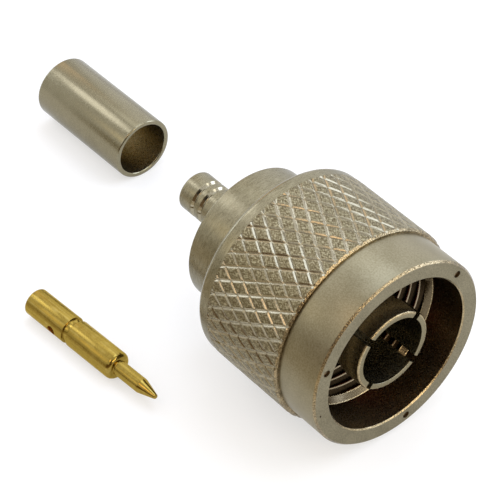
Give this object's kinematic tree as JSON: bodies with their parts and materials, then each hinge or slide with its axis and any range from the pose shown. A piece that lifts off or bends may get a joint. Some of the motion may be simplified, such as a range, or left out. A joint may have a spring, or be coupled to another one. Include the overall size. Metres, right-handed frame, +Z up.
{
  "type": "crimp coaxial plug",
  "caption": "Crimp coaxial plug kit: knurled coupling nut turning on a plug body with slotted outer contact, with its loose crimp ferrule and gold centre contact",
  "frame": {"origin": "on the plug axis at the front end of the outer contact, which is the mating plane", "axes": "+X runs along the plug axis out of the mating end, +Z is up from the surface that the kit lies on"},
  "size_m": [0.0565, 0.0274, 0.0204],
  "materials": {
    "nickel_plate": "satin nickel plate",
    "spring_nickel": "bright nickel plate",
    "insulator_white": "matt white",
    "spring_steel": "plain",
    "gasket_rubber": "matt red silicone",
    "ferrule_nickel": "satin nickel plate",
    "gold_plate": "satin gold plate"
  },
  "bodies": {
    "plug": {"plug_body": "nickel_plate", "outer_contact": "spring_nickel", "insulator": "insulator_white", "retaining_ring": "spring_steel", "gasket": "gasket_rubber", "crimp_ferrule": "ferrule_nickel", "centre_contact": "gold_plate"},
    "nut": {"coupling_nut": "nickel_plate"}
  },
  "joints": [
    {"name": "nut_spin", "type": "hinge", "parent": "plug", "child": "nut", "pos_m": [-0.0129, 0, 0], "axis": [1, 0, 0], "continuous": true}
  ]
}
